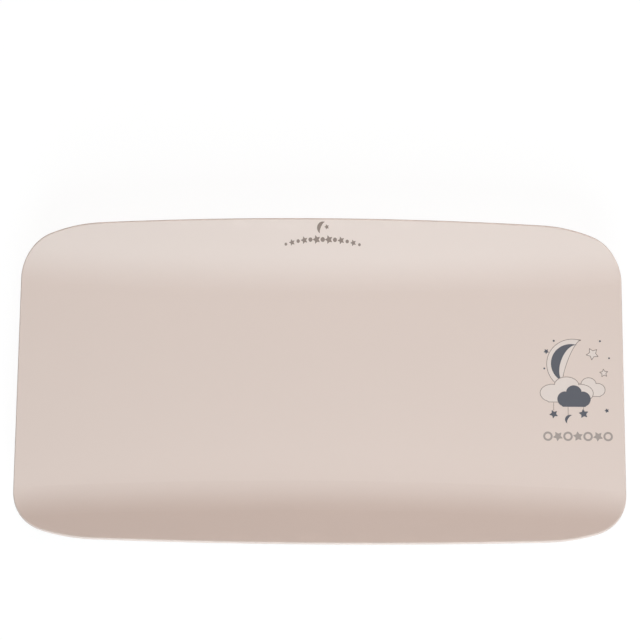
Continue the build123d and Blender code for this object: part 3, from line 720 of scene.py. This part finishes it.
class DisplaySizes(bpy.types.PropertyGroup):
    """Lens, glass and digits."""

    window_width: FloatProperty(
        name="Window width", description="Clear part of the lens", default=62 * MM, **LENGTH)
    window_height: FloatProperty(
        name="Window height", description="Clear part of the lens", default=18 * MM, **LENGTH)
    lens_colour: FloatVectorProperty(
        name="Lens border", description="Print behind the lens border", default=(0.03, 0.034, 0.04),
        **COLOUR)
    hairline_colour: FloatVectorProperty(
        name="Hairline", description="Thin line around the window", default=(0.22, 0.23, 0.24),
        **COLOUR)
    glass_colour: FloatVectorProperty(
        name="Glass colour", description="Liquid crystal cell, unlit", default=(0.37, 0.42, 0.35),
        **COLOUR)
    digit_colour: FloatVectorProperty(
        name="Digit colour", description="Lit segments", default=(0.02, 0.022, 0.024), **COLOUR)
    digit_height: FloatProperty(
        name="Digit height", description="Height of a digit", default=12.5 * MM, **LENGTH)
    digit_width: FloatProperty(
        name="Digit width", description="Width of a digit", default=7.2 * MM, **LENGTH)
    segment: FloatProperty(
        name="Segment width", description="Width of a segment", default=1.35 * MM, **LENGTH)
    reading: StringProperty(name="Reading", description="What the display shows", default="0.000")


class ButtonSizes(bpy.types.PropertyGroup):
    """Button caps and their marks."""

    colour: FloatVectorProperty(
        name="Button colour", description="Slate grey caps", default=(0.16, 0.175, 0.2), **COLOUR)
    mark_colour: FloatVectorProperty(
        name="Mark colour", description="Print on the caps", default=(0.75, 0.72, 0.68), **COLOUR)
    mark_size: FloatProperty(
        name="Mark size", description="Height of a mark", default=5.0 * MM, **LENGTH)


class StageSizes(bpy.types.PropertyGroup):
    """Camera, light and floor."""

    elevation: FloatProperty(
        name="Elevation", description="Camera above the horizon", default=math.radians(74.603),
        subtype="ANGLE", unit="ROTATION")
    roll: FloatProperty(
        name="Roll", description="Camera's turn about its own axis", default=math.radians(0.4297),
        subtype="ANGLE", unit="ROTATION")
    distance: FloatProperty(
        name="Distance", description="Camera to the point it looks at", default=2.50520, **LENGTH)
    aim: FloatVectorProperty(
        name="Aim", description="Point that the camera looks at",
        default=(-0.000912, 0.06107, 0.042), subtype="XYZ", unit="LENGTH", size=3)
    lens: FloatProperty(
        name="Lens", description="Focal length in millimetres", default=154.50, min=1)
    ambient: FloatProperty(
        name="Ambient", description="Strength of the light from all round", default=0.04, min=0)
    front: FloatProperty(
        name="Front lamp", description="Power of the large lamp in front", default=60.5, min=0)
    top: FloatProperty(
        name="Top lamp", description="Power of the lamp overhead", default=23.5, min=0)
    side: FloatProperty(
        name="Side lamp", description="Power of the lamp on the right", default=17, min=0)
    rear: FloatProperty(name="Rear lamp", description="Power of the lamp behind", default=15, min=0)


# ---- Operators ----
class SCALE_OT_tray(bpy.types.Operator):
    """Finish the tray in satin beige plastic"""

    bl_idname = "babyscale.tray"
    bl_label = "Tray"

    def execute(self, context):
        dress(tray_satin(context.scene.scale_tray), "tray")
        return {"FINISHED"}


class SCALE_OT_picture(bpy.types.Operator):
    """Print a moon, clouds and hanging stars at the tray's right end"""

    bl_idname = "babyscale.picture"
    bl_label = "Picture"

    def execute(self, context):
        sizes = context.scene.scale_print
        line = sizes.line
        slate = ink("ink_slate", sizes.slate)
        outline = ink("ink_line", sizes.line_colour)
        pale = ink("ink_pale", sizes.pale, cover=0.3)

        def spot(*place):
            return from_print(sizes, *place)

        def outlined(name, shape, size, place):
            """The layers of a pale shape with a line round it."""
            return [(f"{name}_fill", pale, [(inside_of(shape(*size), line), place)]),
                    (f"{name}_line", outline, [(border_of(shape(*size), line), place)])]

        # An even band would cross itself at a star's tips: its line is a star under a smaller one.
        hollow_stars = [(6.4 * MM, spot(17, 31, 10)), (4.4 * MM, spot(27, 13, -12))]
        threads = [
            (rounded_plate(line * 0.8, length * MM, line * 0.3, 2), spot(x, -15 - length / 2))
            for x, length in ((-19, 7), (-6, 12), (8, 6))]
        layers = [
            *outlined("moon", crescent, (24 * MM, 0.22), spot(-1, 21, -20)),
            ("moon_shade", slate, [(crescent(18.5 * MM, 0.52), spot(-2.4, 21.6, -20))]),
            *outlined("far_cloud", cloud, (31 * MM, 18 * MM), spot(13, -5)),
            *outlined("cloud", cloud, (50 * MM, 24 * MM), spot(-7, -9)),
            ("star_lines", outline, [(star(radius), place) for radius, place in hollow_stars]),
            ("star_fills", pale, [
                (star(radius - 2.4 * line), place) for radius, place in hollow_stars]),
            ("threads", outline, threads),
            ("near_cloud", slate, [(cloud(31 * MM, 20 * MM), spot(-0.5, -14))]),
            ("hung_stars", slate, [
                (star(4.2 * MM), spot(-19, -25.5, 8)),
                (crescent(4.4 * MM, 0.4), spot(-4.5, -30.5, -30)),
                (star(4.6 * MM), spot(8, -25, -10)),
                (star(2.6 * MM), spot(-25, 33, 15)),
                (disc(0.9 * MM), spot(-18, 43)),
                (disc(0.8 * MM), spot(-27, 17)),
                (disc(0.9 * MM), spot(24, 43)),
                (star(2.2 * MM), spot(29, -22)),
                (disc(0.8 * MM), spot(32, 27)),
            ]),
        ]
        for layer, (name, finish, shapes) in enumerate(layers):
            print_on_tray(name, shapes, finish, layer)
        return {"FINISHED"}


class SCALE_OT_garland(bpy.types.Operator):
    """Print a row of rings and stars under the picture"""

    bl_idname = "babyscale.garland"
    bl_label = "Garland"

    def execute(self, context):
        sizes = context.scene.scale_print
        first, pitch, row, tilt = -24.6, 9.05, -46, 12
        shapes = []
        for i in range(7):
            place = from_print(sizes, first + i * pitch, row, tilt if i % 4 == 1 else -tilt)
            if i % 2:
                shapes.append((star(4.8 * MM, waist=0.52), place))
            else:
                shapes.append((border_of(disc(4.3 * MM, 36), 1.8 * MM), place))
        print_on_tray("garland", shapes, ink("ink_soft_grey", sizes.soft_grey), 1)
        return {"FINISHED"}


class SCALE_OT_sprig(bpy.types.Operator):
    """Print a small ornament on the middle of the rear lip"""

    bl_idname = "babyscale.sprig"
    bl_label = "Sprig"

    def execute(self, context):
        grey = ink("ink_sprig", context.scene.scale_print.sprig_colour)
        middle, row, pitch, droop = 1.0, 133.0, 5.6, 0.16
        shapes = [(crescent(5.2 * MM, 0.35), at(1.0, 142.6, -25)),
                  (star(2.3 * MM), at(4.6, 143.4))]
        for side in (-1, 1):
            for i in range(6):
                place = at(middle + side * pitch * (i + 1), row - droop * i * i)
                if i % 2:
                    shapes.append((disc((2.0 - 0.15 * i) * MM, 20), place))
                else:
                    shapes.append((star((3.9 - 0.25 * i) * MM), place))
        shapes.append((disc(2.0 * MM, 20), at(middle, row)))
        print_on_tray("sprig", shapes, grey, 1)
        return {"FINISHED"}


class SCALE_OT_housing(bpy.types.Operator):
    """Finish the housing and its battery door, and add the door's grip and a blank label"""

    bl_idname = "babyscale.housing"
    bl_label = "Housing"

    def execute(self, context):
        plastic = housing_texture(context.scene.scale_housing)
        dress(plastic, "base_shell", "battery_door")
        grip = merged(self.ridges() + self.arrow())
        smooth_by_angle(piece("door_ridges", grip, plastic, "battery_door"))
        self.label()
        return {"FINISHED"}

    def ridges(self):
        """Four thumb ridges across the door's free end."""
        free_end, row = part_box("battery_door")[1].x, middle_of("battery_door").y
        first, pitch = 2.2 * MM, 1.7 * MM
        ridges = []
        for i in range(4):
            bm = bmesh.new()
            bmesh.ops.create_cube(bm, size=1.0)
            bmesh.ops.scale(bm, vec=(0.8 * MM, 8 * MM, 0.9 * MM), verts=bm.verts)
            rounded(bm, bm.edges[:], 0.3 * MM, 2, affect="EDGES")
            place = Matrix.Translation((free_end - first - i * pitch, row, UNDERSIDE))
            ridges.append((bm, place))
        return ridges

    def arrow(self):
        """A raised arrow that points to the ridges: its head and its shaft."""
        row, raised = middle_of("battery_door").y, 0.35 * MM
        head = (disc(4.2 * MM, 3), 9.0 * MM)
        shaft = (rounded_plate(2.4 * MM, 8 * MM, 0.3 * MM, 2), 3.2 * MM)
        return [
            (thicken(shape, raised * 1.5),
             Matrix.Translation((x, row, UNDERSIDE - raised)) @ at(0, 0, -90))
            for shape, x in (head, shaft)]

    def label(self):
        """A blank foil label under the housing, with a printed frame and rules."""
        width, height, film, margin = 58 * MM, 34 * MM, 0.12 * MM, 2 * MM
        spot = Matrix.Translation((-92 * MM, 0, UNDERSIDE - film))
        foil = thicken(rounded_plate(width, height, 2.5 * MM), film * 1.2)
        foil.transform(spot)
        silver = plated("label_foil", (0.72, 0.72, 0.73), rough=0.42, scale=420.0,
                        stretch=(0.1, 1.0, 1.0))
        piece("label_film", foil, silver)
        outline = rounded_plate(width - 2 * margin, height - 2 * margin, 1.6 * MM)
        shapes = [(border_of(outline, 0.5 * MM), at(0, 0))]
        lengths, top, pitch = (46, 46, 34, 20), 8.4, 5.6
        for i, length in enumerate(lengths):
            rule = rounded_plate(length * MM, 0.5 * MM, 0.2 * MM, 2)
            shapes.append((rule, at((length - lengths[0]) / 2, top - pitch * i)))
        rules = thicken(merged(shapes), film * 0.5)
        rules.transform(spot @ Matrix.Translation((0, 0, -film * 0.3)))
        piece("label_rules", rules, ink("ink_label", (0.12, 0.12, 0.125)))


# The lit segments of each digit: a is the top bar, the rest go clockwise, g is the middle bar.
SEGMENTS = {"0": "abcdef", "1": "bc", "2": "abdeg", "3": "abcdg", "4": "bcfg",
            "5": "acdfg", "6": "acdefg", "7": "abc", "8": "abcdefg", "9": "abcdfg"}


class SCALE_OT_display(bpy.types.Operator):
    """Finish the display and set its reading"""

    bl_idname = "babyscale.display"
    bl_label = "Display"

    def execute(self, context):
        sizes = context.scene.scale_display
        dress(lens_acrylic(sizes), "display_lens")
        dress(display_glass(sizes), "lcd_glass")
        dress(light_guide(), "lcd_backlight")
        dress(moulded("frame_satin", (0.8, 0.8, 0.77)), "lcd_frame")
        dress(strip_rubber(), "lcd_elastomer_strips")
        lit, unlit = self.segments(sizes)
        ghost = [channel * 0.9 for channel in sizes.glass_colour]
        film = 0.03 * MM
        face = PANEL @ Matrix.Translation((0, 0, -GLASS_DEPTH - film / 2))
        for name, shapes, colour in (
                ("digits_lit", lit, sizes.digit_colour), ("digits_unlit", unlit, ghost)):
            bm = thicken(merged(shapes), film)
            bm.transform(face)
            piece(name, bm, ink(name, colour, cover=0.4))
        return {"FINISHED"}

    def segments(self, sizes):
        """The segments that the reading lights, with its points, and those it leaves unlit."""
        width, height, thick = sizes.digit_width, sizes.digit_height, sizes.segment
        digit_gap, segment_gap = 3.6 * MM, 0.35 * MM
        reach = width / 2 - thick / 2
        bar = height / 2 - thick / 2
        spots = {"a": (0, bar, 0), "g": (0, 0, 0), "d": (0, -bar, 0),
                 "f": (-reach, bar / 2, 1), "b": (reach, bar / 2, 1),
                 "e": (-reach, -bar / 2, 1), "c": (reach, -bar / 2, 1)}
        lean = Matrix.Identity(4)
        lean[0][1] = math.tan(math.radians(5))
        pitch = width + digit_gap
        digits = [c for c in sizes.reading if c in SEGMENTS]
        start = -pitch * (len(digits) - 1) / 2
        lit, unlit, count = [], [], 0
        for character in sizes.reading:
            if character == ".":
                x = start + (count - 0.5) * pitch
                point = rounded_plate(thick, thick, thick * 0.2, 2)
                lit.append((point, Matrix.Translation((x, -bar, 0))))
                continue
            digit = Matrix.Translation((start + count * pitch, 0, 0)) @ lean
            for name, (x, y, upright) in spots.items():
                length = (bar if upright else 2 * reach) - segment_gap
                shape = rounded_plate(length, thick, thick * 0.49, 1)
                spot = Matrix.Translation((x, y, 0)) @ Matrix.Rotation(
                    upright * math.pi / 2, 4, "Z")
                shapes = lit if name in SEGMENTS[character] else unlit
                shapes.append((shape, digit @ spot))
            count += 1
        return lit, unlit


class SCALE_OT_buttons(bpy.types.Operator):
    """Finish the four buttons and print their marks"""

    bl_idname = "babyscale.buttons"
    bl_label = "Buttons"

    def execute(self, context):
        sizes = context.scene.scale_buttons
        cap = moulded("button_satin", sizes.colour, rough=0.5, grain=1900.0, depth=0.012 * MM,
                      share=0.03)
        dress(cap, *(f"{name}_button" for name in BUTTONS))
        plunger = moulded("plunger_plastic", (0.5, 0.2, 0.08), rough=0.4)
        dress(plunger, *(f"{name}_switch_plunger" for name in BUTTONS))
        print_ink = ink("button_print", sizes.mark_colour, cover=0.5)
        film = 0.06 * MM
        for name, shapes in self.marks(sizes.mark_size).items():
            bm = thicken(merged(shapes), film)
            across = middle_of(f"{name}_button").x
            bm.transform(PANEL @ Matrix.Translation((across, 0, CAP_RISE - film / 2)))
            piece(f"{name}_mark", bm, print_ink, f"{name}_button")
        return {"FINISHED"}

    def marks(self, size):
        """A power sign, two arrowheads, two bars and a zero, as high as the size."""
        thin = size * 0.16
        size_mm = size / MM
        ring = open_top(border_of(disc(size / 2, 40), thin), size * 0.42)
        stem = rounded_plate(thin, size * 0.5, thin * 0.4, 2)
        zero = border_of(rounded_plate(size * 0.62, size, size * 0.3, 8), thin)
        return {
            "power": [(ring, at(0, 0)), (stem, at(0, size_mm * 0.34))],
            "unit": [(disc(size * 0.28, 3), at(0, size_mm * 0.22)),
                     (disc(size * 0.28, 3), at(0, -size_mm * 0.22, 180))],
            "hold": [(rounded_plate(thin * 1.4, size, thin * 0.4, 2), at(side * size_mm * 0.24, 0))
                     for side in (-1, 1)],
            "tare": [(zero, at(0, 0))],
        }


class SCALE_OT_electronics(bpy.types.Operator):
    """Finish the board and what it carries"""

    bl_idname = "babyscale.electronics"
    bl_label = "Electronics"

    def execute(self, context):
        black, red = (0.03, 0.03, 0.03), (0.5, 0.03, 0.02)
        dress(board_laminate(), "main_pcb")
        dress(chip_epoxy(), "controller_chips")
        dress(moulded("switch_body_plastic", (0.03, 0.03, 0.032), 0.45), "tact_switch_bodies")
        dress(moulded("connector_nylon", (0.8, 0.78, 0.68), rough=0.4), "sensor_connector")
        dress(plated("board_screw_zinc", (0.62, 0.62, 0.63), rough=0.32), "pcb_screws")
        dress(lead_jacket("battery_lead_jacket", black, red), "battery_leads")
        return {"FINISHED"}


class SCALE_OT_feet(bpy.types.Operator):
    """Finish the feet, load cells, gauges and leads"""

    bl_idname = "babyscale.feet"
    bl_label = "Feet"

    def execute(self, context):
        finishes = {
            "foot_pad": foot_rubber(),
            "foot_carrier": moulded("carrier_moulding", (0.72, 0.71, 0.68), rough=0.45),
            "load_cell": plated("load_cell_plate", (0.6, 0.61, 0.62), rough=0.34, scale=300.0,
                                stretch=(1.0, 0.08, 1.0)),
            "load_cell_lead": lead_jacket("sensor_lead_jacket", (0.6, 0.58, 0.54)),
        }
        for node, finish in finishes.items():
            dress(finish, *(f"{node}_{foot}" for foot in FEET))
        sealant = moulded("gauge_sealant", (0.8, 0.79, 0.75), rough=0.3, grain=300.0,
                          depth=0.08 * MM)
        dress(sealant, "strain_gauges")
        return {"FINISHED"}


class SCALE_OT_power(bpy.types.Operator):
    """Finish the cells, springs and contact plates"""

    bl_idname = "babyscale.power"
    bl_label = "Cells"

    def execute(self, context):
        dress(cell_wrap("cell_wrap_forward", 1.0), "battery_1", "battery_3")
        dress(cell_wrap("cell_wrap_back", -1.0), "battery_2")
        dress(plated("spring_nickel", (0.72, 0.7, 0.66), rough=0.22), "battery_springs")
        dress(plated("contact_nickel", (0.72, 0.71, 0.67), rough=0.28), "battery_contacts")
        return {"FINISHED"}


class SCALE_OT_fasteners(bpy.types.Operator):
    """Make the cross-recessed screws that hold tray and housing together"""

    bl_idname = "babyscale.fasteners"
    bl_label = "Screws"

    def execute(self, context):
        low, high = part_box("housing_screws")
        radius = SCREW_HEAD / 2
        outer, row = high.x - radius, high.y - radius
        places = [(side * x, end * row)
                  for x in (outer, SCREW_INNER) for side in (-1, 1) for end in (-1, 1)]
        shapes = []
        for number, (x, y) in enumerate(places):
            turn = Matrix.Rotation(math.radians(23 + 41 * number), 4, "Z")
            shapes.append((self.screw(high.z - low.z), Matrix.Translation((x, y, low.z)) @ turn))
        zinc = plated("housing_screw_zinc", (0.6, 0.6, 0.62), scale=500.0)
        screws = piece("recessed_screws", merged(shapes), zinc, "scale")
        smooth_by_angle(screws)
        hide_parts("housing_screws")
        return {"FINISHED"}

    def screw(self, length):
        """A pan head at the bottom with a cross recess, and a shank with thread rings."""
        cells, half, flat_radius = 5, 2.1 * MM, 2.2 * MM  # of the head's flat, a grid of cells
        recess_depth, recess_taper = 1.1 * MM, 0.8
        core, crest, pitch, tip = 1.2, 1.5, 0.9, 0.5
        bm = bmesh.new()
        bmesh.ops.create_grid(bm, x_segments=cells, y_segments=cells, size=half)
        cell = 2 * half / cells
        cross = [face for face in bm.faces
                 if min(abs(c) for c in face.calc_center_median()[:2]) < cell / 4
                 and face.calc_center_median().length < 1.5 * cell]
        rim = [edge for edge in bm.edges if edge.is_boundary]
        for vertex in {vertex for edge in rim for vertex in edge.verts}:
            vertex.co = vertex.co.normalized() * flat_radius
        sunk = bmesh.ops.extrude_face_region(bm, geom=cross)["geom"]
        floor = [part for part in sunk if isinstance(part, bmesh.types.BMVert)]
        bmesh.ops.scale(bm, vec=(recess_taper, recess_taper, 1.0), verts=floor)
        bmesh.ops.translate(bm, vec=(0, 0, recess_depth), verts=floor)
        bmesh.ops.delete(bm, geom=cross, context="FACES_ONLY")
        # Radius and height of each ring, in millimetres: head, plain neck, thread and tip.
        profile = [(2.75, 0.3), (3.0, 0.85), (3.0, 1.75), (2.9, 2.0), (crest, 2.0), (crest, 3.0)]
        height = 3.3
        while height < length / MM - 1.6:
            profile += [(core, height), (crest, height + pitch / 2)]
            height += pitch
        profile += [(core, height), (tip, length / MM)]
        for radius, level in profile:
            made = bmesh.ops.extrude_edge_only(bm, edges=rim)["geom"]
            rim = [part for part in made if isinstance(part, bmesh.types.BMEdge)]
            for vertex in {vertex for edge in rim for vertex in edge.verts}:
                around = Vector((vertex.co.x, vertex.co.y, 0)).normalized() * radius * MM
                vertex.co = around + Vector((0, 0, level * MM))
        bmesh.ops.holes_fill(bm, edges=rim)
        return bm


# Each lamp's place and tint. Its power is the stage's size of the same name.
LAMPS = {
    "front": ((0.0, -2.2, 1.5), (0.80, 0.945, 1.0)),
    "top": ((0.0, 0.0, 2.7), (1.0, 0.985, 0.965)),
    "side": ((2.2, 0.0, 1.5), (1.0, 0.972, 0.958)),
    "rear": ((0.0, 2.2, 1.5), (1.0, 0.83, 0.71)),
}
LAMP_SIDE = 1.7  # of a square lamp
FLOOR_REACH = 6.0  # from its middle to its edges


class SCALE_OT_stage(bpy.types.Operator):
    """Set the floor, the light and the camera"""

    bl_idname = "babyscale.stage"
    bl_label = "Stage"

    def execute(self, context):
        sizes = context.scene.scale_stage
        context.scene.view_settings.view_transform = "Standard"
        self.floor()
        self.world(context.scene, sizes)
        for name, (place, tint) in LAMPS.items():
            self.lamp(f"{name}_lamp", place, getattr(sizes, name), tint)
        self.camera(context.scene, sizes)
        return {"FINISHED"}

    def floor(self):
        """A plain pale floor, white to the camera but for the shadow on it."""
        f = Finish("floor_pale")
        x, y, _ = f.axes()
        far = distance(x, y).ramp(0.55, 1.1)
        pale = f.shader("ShaderNodeBsdfDiffuse", (0.8, 0.8, 0.8, 1.0))
        fill = f.shader("ShaderNodeEmission", WHITE, 0.2)
        lit = f.node("ShaderNodeAddShader", {}, {0: pale, 1: fill})
        faint = f.shader("ShaderNodeBsdfDiffuse", (0.13, 0.13, 0.13, 1.0))
        glow = f.shader("ShaderNodeEmission", WHITE, 0.9)
        near = f.node("ShaderNodeAddShader", {}, {0: faint, 1: glow})
        shown = f.blend(far, near, f.shader("ShaderNodeEmission", WHITE, 1.0))
        front = f.blend(f.backdrop_rays(), lit, shown)
        behind = f.node("ShaderNodeNewGeometry", output="Backfacing")
        both = f.blend(behind, front, f.node("ShaderNodeBsdfTransparent"))
        f.node("ShaderNodeOutputMaterial", {}, {"Surface": both})
        bm = bmesh.new()
        bmesh.ops.create_grid(bm, x_segments=1, y_segments=1, size=FLOOR_REACH)
        mesh_object("floor", bm, f.material)

    def world(self, scene, sizes):
        """White to the camera and in reflections, a soft ambient light otherwise."""
        scene.world = bpy.data.worlds.new("studio")
        scene.world.use_nodes = True
        f = Finish("studio", scene.world.node_tree)
        soft = f.shader("ShaderNodeBackground", (1.0, 0.93, 0.87, 1.0), sizes.ambient)
        white = f.shader("ShaderNodeBackground", WHITE, 1.0)
        shown = f.blend(f.backdrop_rays(), soft, white)
        f.node("ShaderNodeOutputWorld", {}, {"Surface": shown})

    def lamp(self, name, place, power, tint):
        """A large soft square lamp that faces the tray."""
        data = bpy.data.lights.new(name, "AREA")
        data.size = LAMP_SIDE
        data.energy = power
        data.color = tint
        lamp = linked(name, data)
        lamp.location = place
        facing = Vector((0, 0, TRAY_FLOOR)) - Vector(place)
        lamp.rotation_euler = facing.to_track_quat("-Z", "Y").to_euler()

    def camera(self, scene, sizes):
        """The camera, above the scale and a little in front."""
        data = bpy.data.cameras.new("camera")
        data.lens = sizes.lens
        data.sensor_width = 36.0
        data.clip_start, data.clip_end = 0.05, 50.0
        camera = linked("camera", data)
        back = Vector((0, -math.cos(sizes.elevation), math.sin(sizes.elevation)))
        camera.location = Vector(sizes.aim) + back * sizes.distance
        camera.rotation_mode = "QUATERNION"
        roll = Quaternion((0, 0, 1), sizes.roll)
        camera.rotation_quaternion = (-back).to_track_quat("-Z", "Y") @ roll
        scene.camera = camera


GROUPS = {
    "scale_tray": TrayFinishSizes,
    "scale_housing": HousingFinishSizes,
    "scale_print": PrintSizes,
    "scale_display": DisplaySizes,
    "scale_buttons": ButtonSizes,
    "scale_stage": StageSizes,
}
OPERATORS = (
    SCALE_OT_tray,
    SCALE_OT_picture,
    SCALE_OT_garland,
    SCALE_OT_sprig,
    SCALE_OT_housing,
    SCALE_OT_display,
    SCALE_OT_buttons,
    SCALE_OT_electronics,
    SCALE_OT_feet,
    SCALE_OT_power,
    SCALE_OT_fasteners,
    SCALE_OT_stage,
)


class SCALE_PT_sidebar(bpy.types.Panel):
    """Sizes, colours and steps of the baby scale"""

    bl_idname = "SCALE_PT_sidebar"
    bl_label = "Baby Scale"
    bl_space_type = "VIEW_3D"
    bl_region_type = "UI"
    bl_category = "Baby Scale"

    def draw(self, context):
        for attribute, group in GROUPS.items():
            box = self.layout.box()
            for name in group.__annotations__:
                box.prop(getattr(context.scene, attribute), name)
        for operator in OPERATORS:
            self.layout.operator(operator.bl_idname)


CLASSES = (*GROUPS.values(), *OPERATORS, SCALE_PT_sidebar)


def register():
    for kind in CLASSES:
        bpy.utils.register_class(kind)
    for attribute, group in GROUPS.items():
        setattr(bpy.types.Scene, attribute, PointerProperty(type=group))


def unregister():
    for attribute in GROUPS:
        delattr(bpy.types.Scene, attribute)
    for kind in reversed(CLASSES):
        bpy.utils.unregister_class(kind)


def main():
    """Dresses the scale."""
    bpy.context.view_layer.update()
    register()
    for operator in OPERATORS:
        group, name = operator.bl_idname.split(".")
        getattr(getattr(bpy.ops, group), name)()


if __name__ == "__main__":
    main()
